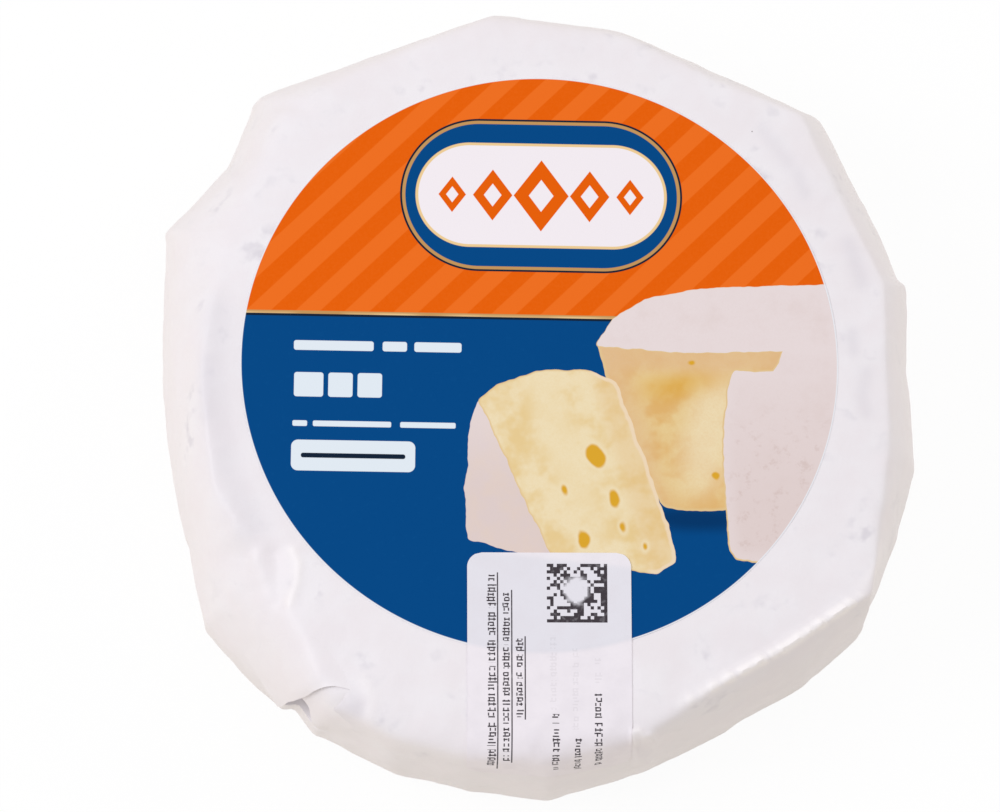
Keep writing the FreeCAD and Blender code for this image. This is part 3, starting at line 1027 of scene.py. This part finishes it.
def paint_cheese(w, place, colour):
    """A cut wheel and a wedge, in plain fields of colour with softly shaded faces."""
    drawn = unsteady(w, place, 0.35, 0.9)
    cloud = w.noise(place, 0.22, 3.0, 0.6)
    grain = w.noise(place, 4.0, 2.0, 0.7)
    y = w.split(place)[1]

    shade = ellipse(w, place, (19.5, -19.6), 9.0, 1.6)
    colour = w.wash(colour, SHADOW_BLUE, shade, -0.8, 1.2, 0.0, 0.8)

    # The wheel: the cut face, the rind of its top over it, and the part left whole at the right.
    rind = w.wash(RIND_DARK, RIND_LIGHT, cloud, 0.2, 0.55, 0.5, 1.0)
    rind = w.wash(rind, RIND_DARK, y, -18.0, 4.0, 0.8, 0.0, smooth=False)
    rind = w.wash(rind, RIND_DARK, grain, 0.3, 0.8, 0.0, 0.2)
    bloom = w.times(w.ramp(w.noise(place, 0.6, 4.0, 0.75), 0.52, 0.70),
                    w.ramp(y, -14.0, -1.0, 0.45, 0.0))
    rind = w.mix(bloom, rind, RIND_SPECK)
    face = polygon(w, drawn, [(7.0, 2.6), (9.0, -4.0), (13.0, -14.5), (15.4, -18.0), (18.5, -18.6),
                              (27.0, -18.2), (31.0, 3.4)], 0.5)
    paste = w.wash(PASTE_DEEP, PASTE, cloud, 0.36, 0.62)
    glow = ellipse(w, drawn, (21.0, -8.5), 3.2, 8.5, -12)
    paste = w.wash(paste, PASTE_LIGHT, glow, -2.0, 2.4, 0.0, 0.85)
    dark = ellipse(w, drawn, (17.0, -2.6), 5.0, 1.8, 12)
    paste = w.wash(paste, HOLE, dark, -1.2, 1.6, 0.0, 0.6)
    paste = w.wash(paste, PASTE_DEEP, y, -18.5, -15.0, 0.55, 0.0)
    paste = w.wash(paste, PASTE_LIP, y, -2.2, 0.4, 0.0, 0.75)
    right = half_plane(w, drawn, (15.2, -25.8), (8.4, -2.0))
    paste = w.wash(paste, PASTE_LIP, right, -5.0, -0.5, 0.0, 0.75)
    paste = w.wash(paste, PASTE_DEEP, grain, 0.3, 0.8, 0.0, 0.2)
    colour = w.ink(face, colour, w.wash(CRUST, paste, face, 0.0, 0.5))
    for centre, across, along in (((21.8, -14.0), 0.45, 0.6), ((18.6, 0.2), 0.5, 0.35)):
        colour = w.wash(colour, HOLE, ellipse(w, drawn, centre, across, along), -0.1, 0.2)
    top = polygon(w, drawn, [(6.9, 2.3), (12.0, 1.7), (19.7, 1.4), (30.2, 1.9), (42.0, 2.6),
                             (42.0, 10.9), (27.0, 10.3), (19.7, 9.8), (12.3, 8.1),
                             (8.6, 5.3)], 0.7)
    whole = polygon(w, drawn, [(23.9, -0.7), (23.2, -2.8), (22.8, -7.0), (22.6, -12.3),
                               (23.0, -18.0), (23.5, -23.4), (24.4, -24.7), (27.0, -24.8),
                               (42.0, -24.4), (42.0, -0.6), (28.6, -0.5)], 0.5)
    beside = polygon(w, drawn, [(28.4, -1.6), (42.0, -4.0), (42.0, 3.4), (30.0, 2.2)], 0.4)
    skin = w.most(top, w.most(whole, beside))
    colour = w.ink(w.plus(skin, w.ramp(y, -1.0, 4.0, 0.18, 0.04)), colour, CRUST)
    rind = w.wash(rind, RIND_LIGHT, skin, 0.0, 2.0, 0.5, 0.0)
    colour = w.ink(skin, colour, rind)

    # The wedge: its rind end at the left, then its cut face with a few holes.
    end = polygon(w, drawn, [(-9.0, -19.0), (-8.5, -22.6), (-3.0, -24.2), (2.6, -24.5),
                             (-5.0, -4.2), (-7.5, -5.0), (-8.6, -8.9)], 0.6)
    side = w.wash(RIND_DARK, WEDGE_RIND, cloud, 0.35, 0.65)
    side = w.wash(side, RIND_DARK, grain, 0.3, 0.8, 0.0, 0.2)
    side = w.wash(side, RIND_LIGHT, y, -17.0, -5.0, 0.0, 0.6)
    colour = w.ink(end, colour, side)
    cut = polygon(w, drawn, [(-7.5, -4.9), (1.5, -24.3), (14.8, -26.7), (17.1, -25.0),
                             (15.9, -20.1), (12.3, -9.8), (9.5, -2.2), (6.2, -0.9), (0.0, -1.0),
                             (-4.8, -2.7)], 0.7)
    fresh = w.wash(PASTE, PASTE_LIGHT, cloud, 0.34, 0.6)
    streak = ellipse(w, drawn, (3.0, -11.0), 2.2, 13.0, 20)
    fresh = w.wash(fresh, PASTE_LIGHT, streak, -1.6, 1.4, 0.0, 0.8)
    fresh = w.wash(fresh, PASTE_DEEP, right, 0.4, 3.0, 0.3, 0.0)
    fresh = w.wash(fresh, PASTE, grain, 0.3, 0.8, 0.0, 0.25)
    fresh = w.wash(CRUST, fresh, cut, 0.0, 0.3)
    pale = w.times(w.ramp(cut, 0.3, 0.6, 0.85, 0.0), w.ramp(right, 1.2, 2.4, 1.0, 0.0))
    colour = w.ink(cut, colour, w.mix(pale, fresh, CUT_EDGE))
    for size in HOLES:
        hole = ellipse(w, drawn, *size)
        colour = w.wash(colour, PASTE_LIGHT, hole, -0.55, 0.1, 0.0, 0.9)
        colour = w.wash(colour, HOLE, hole, -0.1, 0.25)
    return colour


def label_print(tooth, bar):
    """Smooth coated paper printed in fields of colour."""
    material, w, shader = new_material("Printed label")
    place = print_place(w)
    colour = paint_field(w, place)
    colour = paint_badge(w, place, colour, bar)
    colour = paint_bars(w, place, colour, bar)
    colour = paint_cheese(w, place, colour)
    rim = label_outline(w, place)
    colour = w.mix(w.inked(w.minus(0.14, rim), 0.08), colour, LABEL_CORE)
    glint = w.noise(place, 0.8, 3.0, 0.6)
    finish_paper(w, shader, colour, w.ramp(glint, 0.3, 0.7, 0.42, 0.52), 0.04,
                 w.use(tooth, Place=place, Size=0.35), 0.006 * MM)
    return material


STICKER_WHITE = srgb(241, 236, 242)
STICKER_OVER_BLUE = srgb(229, 228, 236)
STICKER_INK = srgb(48, 40, 48)
MODULE = 0.41              # one square of the block of squares, in millimetres
MODULES = 18
BLOCK_LEFT, BLOCK_BACK = -0.3, 1.4

# Lines of small print, running down the sticker: across, start, end, half height of the marks
# and whether a rule runs beside them.  The faded ones have no rule.
PRINT_LINES = [
    (-7.05, 2.8, 27.9, 0.54, True),
    (-5.27, 5.0, 26.1, 0.48, True),
    (-3.63, 10.8, 20.5, 0.46, True),
    (0.75, 20.1, 28.6, 0.48, False),
    (3.45, 22.9, 28.9, 0.46, False),
    (5.95, 17.4, 28.8, 0.50, False),
]
FADED_LINES = [
    (0.45, 10.4, 19.6, 0.42),
    (3.15, 12.0, 22.0, 0.40),
    (5.85, 13.2, 17.0, 0.46),
]


def within(w, value, low, high):
    """1 where a value lies between two limits."""
    return w.times(w.above(value, low), w.below(value, high))


def greeked(w, place, across, start, end, half):
    """A line of small strokes and dashes of uneven height and spacing, which spell nothing."""
    x, y, _ = w.split(place)
    x = w.minus(x, across)
    marks = None
    for pitch, upright in ((0.39, True), (0.62, False)):
        step = w.over(y, pitch)
        cell = w.node("CombineXYZ", {0: w.math("FLOOR", step), 1: across * 3.7})
        seed = w.node("TexWhiteNoise", {"Vector": cell.outputs[0]}, noise_dimensions="2D")
        kinds = w.node("SeparateColor", {0: seed.outputs["Color"]})
        shift = w.times(w.minus(kinds.outputs[2], 0.5), half * 0.5)
        off = w.size(w.minus(x, shift))
        beside = w.size(w.minus(w.math("FRACT", step), 0.5))
        if upright:
            high = w.ramp(kinds.outputs[1], 0.0, 1.0, 0.5 * half, half, smooth=False)
            mark = w.inked(w.minus(high, off), 0.08)
            wide = w.below(beside, 0.22)
        else:
            away = w.size(w.minus(off, 0.55 * half))
            mark = w.inked(w.minus(0.08, away), 0.06)
            wide = w.below(beside, 0.31)
        kept = w.times(w.above(seed.outputs["Value"], 0.2), wide)
        mark = w.times(mark, kept)
        marks = mark if marks is None else w.most(marks, mark)
    gap = w.math("FRACT", w.plus(w.over(y, 3.4), across))
    words = w.above(gap, 0.13)
    return w.times(marks, w.times(words, within(w, y, start, end)))


def module_block(w, place):
    """A worn block of random squares, with a solid edge on two sides."""
    local = w.vector("DIVIDE", w.vector("SUBTRACT", place, (BLOCK_LEFT, BLOCK_BACK, 0.0)),
                     (MODULE, MODULE, 1.0))
    cell = w.vector("FLOOR", local)
    x, y, _ = w.split(cell)
    seed = w.node("TexWhiteNoise", {"Vector": cell}, noise_dimensions="2D")
    dark = w.above(seed.outputs["Value"], 0.5)
    last = MODULES - 1
    solid = w.most(w.math("COMPARE", x, last, 0.1), w.math("COMPARE", y, last, 0.1))
    dark = w.most(dark, solid)
    inside = w.times(within(w, x, -0.5, MODULES - 0.5), within(w, y, -0.5, MODULES - 0.5))
    centre = (BLOCK_LEFT + 0.48 * MODULES * MODULE, BLOCK_BACK + 0.45 * MODULES * MODULE)
    rubbed = ellipse(w, unsteady(w, place, 0.9, 1.6), centre, 1.5, 1.9)
    kept = w.ramp(rubbed, -0.3, 0.5, 1.0, 0.0)
    return w.times(w.times(dark, inside), kept)


def sticker_print(tooth, bar):
    """Thin matt label stock: what lies under it shows through faintly."""
    material, w, shader = new_material("Date sticker")
    place = w.node("Attribute", attribute_name="print_place").outputs["Vector"]
    spot = print_place(w)
    colour = w.mix(w.inked(label_outline(w, spot), 0.5), STICKER_WHITE, STICKER_OVER_BLUE)
    picture = polygon(w, spot, [(-9.0, -24.0), (17.0, -26.4), (14.0, -15.0), (-9.0, -15.0)], 0.8)
    colour = w.wash(colour, STICKER_WHITE, picture, -0.5, 0.5, 0.0, 0.8)
    cloud = w.noise(place, 0.3, 3.0, 0.6)
    colour = w.wash(colour, srgb(222, 217, 224), cloud, 0.35, 0.7, 0.0, 0.25)
    ink = None
    for across, start, end, half, ruled in PRINT_LINES:
        marks = greeked(w, place, across, start, end, half)
        if ruled:
            rule = w.use(bar, Place=place, Centre=(across + half + 0.20, (start + end) / 2, 0.0),
                         Half_size=(0.08, (end - start) / 2 + 0.3, 0.0), Corner=0.05)
            marks = w.most(marks, w.inked(rule))
        ink = marks if ink is None else w.most(ink, marks)
    for line in FADED_LINES:
        ink = w.most(ink, w.times(greeked(w, place, *line), 0.08))
    faded = w.noise(place, 1.6, 2.0, 0.5)
    ink = w.times(w.most(ink, module_block(w, place)), w.ramp(faded, 0.25, 0.5, 0.85, 1.0))
    colour = w.mix(ink, colour, STICKER_INK)
    finish_paper(w, shader, colour, w.ramp(cloud, 0.3, 0.7, 0.45, 0.55), 0.35,
                 w.use(tooth, Place=millimetres(w), Size=0.4), 0.006 * MM)
    return material


# ---------------------------------------------------------------- floor, lamps and camera

FLOOR_SIZE = 6.0
FLOOR_TINT = (238, 227, 205)       # the colour of the light that it throws back
FLOOR_GLOW = 0.93                  # how much of what the camera sees of it is plain white
AMBIENT = 0.67
KEY_LEVEL = 0.34
FILL_LEVEL = 0.18


def camera_sees(w):
    """1 for what the camera, a mirror or glass sees, and 0 for light that falls on things."""
    rays = w.node("LightPath").outputs
    seen = w.most(rays["Is Camera Ray"], rays["Is Glossy Ray"])
    return w.most(seen, rays["Is Transmission Ray"])


def show_white(w, share, lit, white, out):
    """Shows a lit shader, with a share of a plain white one over it."""
    both = w.node("MixShader", {0: share, 1: lit.outputs[0], 2: white.outputs[0]})
    w.node(out, {"Surface": both.outputs[0]})


def make_floor():
    corners = np.array([(-1, -1, 0), (1, -1, 0), (1, 1, 0), (-1, 1, 0)])
    mesh = new_mesh("floor", corners * FLOOR_SIZE / 2, [(0, 1, 2, 3)])
    floor = add_object("floor", mesh)
    material = bpy.data.materials.new("Pale floor")
    w = empty_nodes(material)
    tint = w.mix(camera_sees(w), srgb(*FLOOR_TINT), srgb(255, 255, 255))
    lit = w.node("BsdfDiffuse", {"Color": tint})
    white = w.node("Emission", {"Strength": 1.0})
    show_white(w, w.times(camera_sees(w), FLOOR_GLOW), lit, white, "OutputMaterial")
    mesh.materials.append(material)


def make_world():
    world = bpy.data.worlds.new("Studio")
    w = empty_nodes(world)
    seen = camera_sees(w)
    ambient = w.node("Background", {"Color": (1.0, 0.985, 0.99, 1.0), "Strength": AMBIENT})
    white = w.node("Background", {"Color": (1, 1, 1, 1), "Strength": 1.0})
    show_white(w, seen, ambient, white, "OutputWorld")
    bpy.context.scene.world = world


def add_softbox(name, bearing, elevation, distance, size, level, colour):
    """A square lamp that lights a white surface facing it to a level, 1 for full white."""
    lamp = bpy.data.lights.new(name, "AREA")
    lamp.shape = "SQUARE"
    lamp.size = size
    lamp.energy = level * math.pi ** 2 * distance ** 2
    lamp.color = colour
    item = add_object(name, lamp)
    turn, rise = math.radians(bearing), math.radians(elevation)
    way = Vector((math.cos(turn) * math.cos(rise), math.sin(turn) * math.cos(rise),
                  math.sin(rise)))
    item.location = way * distance
    item.rotation_euler = way.to_track_quat("Z", "Y").to_euler()


CAMERA_TILT = 15.7         # away from straight down, in degrees
CAMERA_TURN = 5.5          # the side it leans to
CAMERA_DISTANCE = 0.90
LENS = 264.1
AIM = Vector((-4.87, -5.58, 0.0)) * MM


def make_camera():
    camera = bpy.data.cameras.new("camera")
    camera.lens = LENS
    camera.sensor_width = 36.0
    camera.clip_start = 0.01
    item = add_object("camera", camera)
    turn = math.radians(CAMERA_TURN)
    tilt = Matrix.Rotation(math.radians(CAMERA_TILT), 3, "X")
    rotation = Matrix.Rotation(-turn, 3, "Z") @ tilt @ Matrix.Rotation(turn, 3, "Z")
    item.rotation_euler = rotation.to_euler()
    item.location = LABEL_CENTRE + AIM + rotation @ Vector((0, 0, CAMERA_DISTANCE))
    bpy.context.scene.camera = item


def main():
    tooth, specks, damp, bar = paper_tooth_group(), specks_group(), damp_group(), bar_group()
    paper = make_paper(white_paper(tooth, specks, damp))
    label = make_label(label_print(tooth, bar))
    make_sticker(sticker_print(tooth, bar), [paper, label])
    make_floor()
    make_world()
    add_softbox("key", 184, 46, 0.9, 0.42, KEY_LEVEL, (0.985, 0.985, 1.015))
    add_softbox("fill", 40, 32, 1.1, 0.6, FILL_LEVEL, (1.0, 0.96, 0.92))
    make_camera()
    bpy.context.scene.view_settings.view_transform = "Standard"


main()
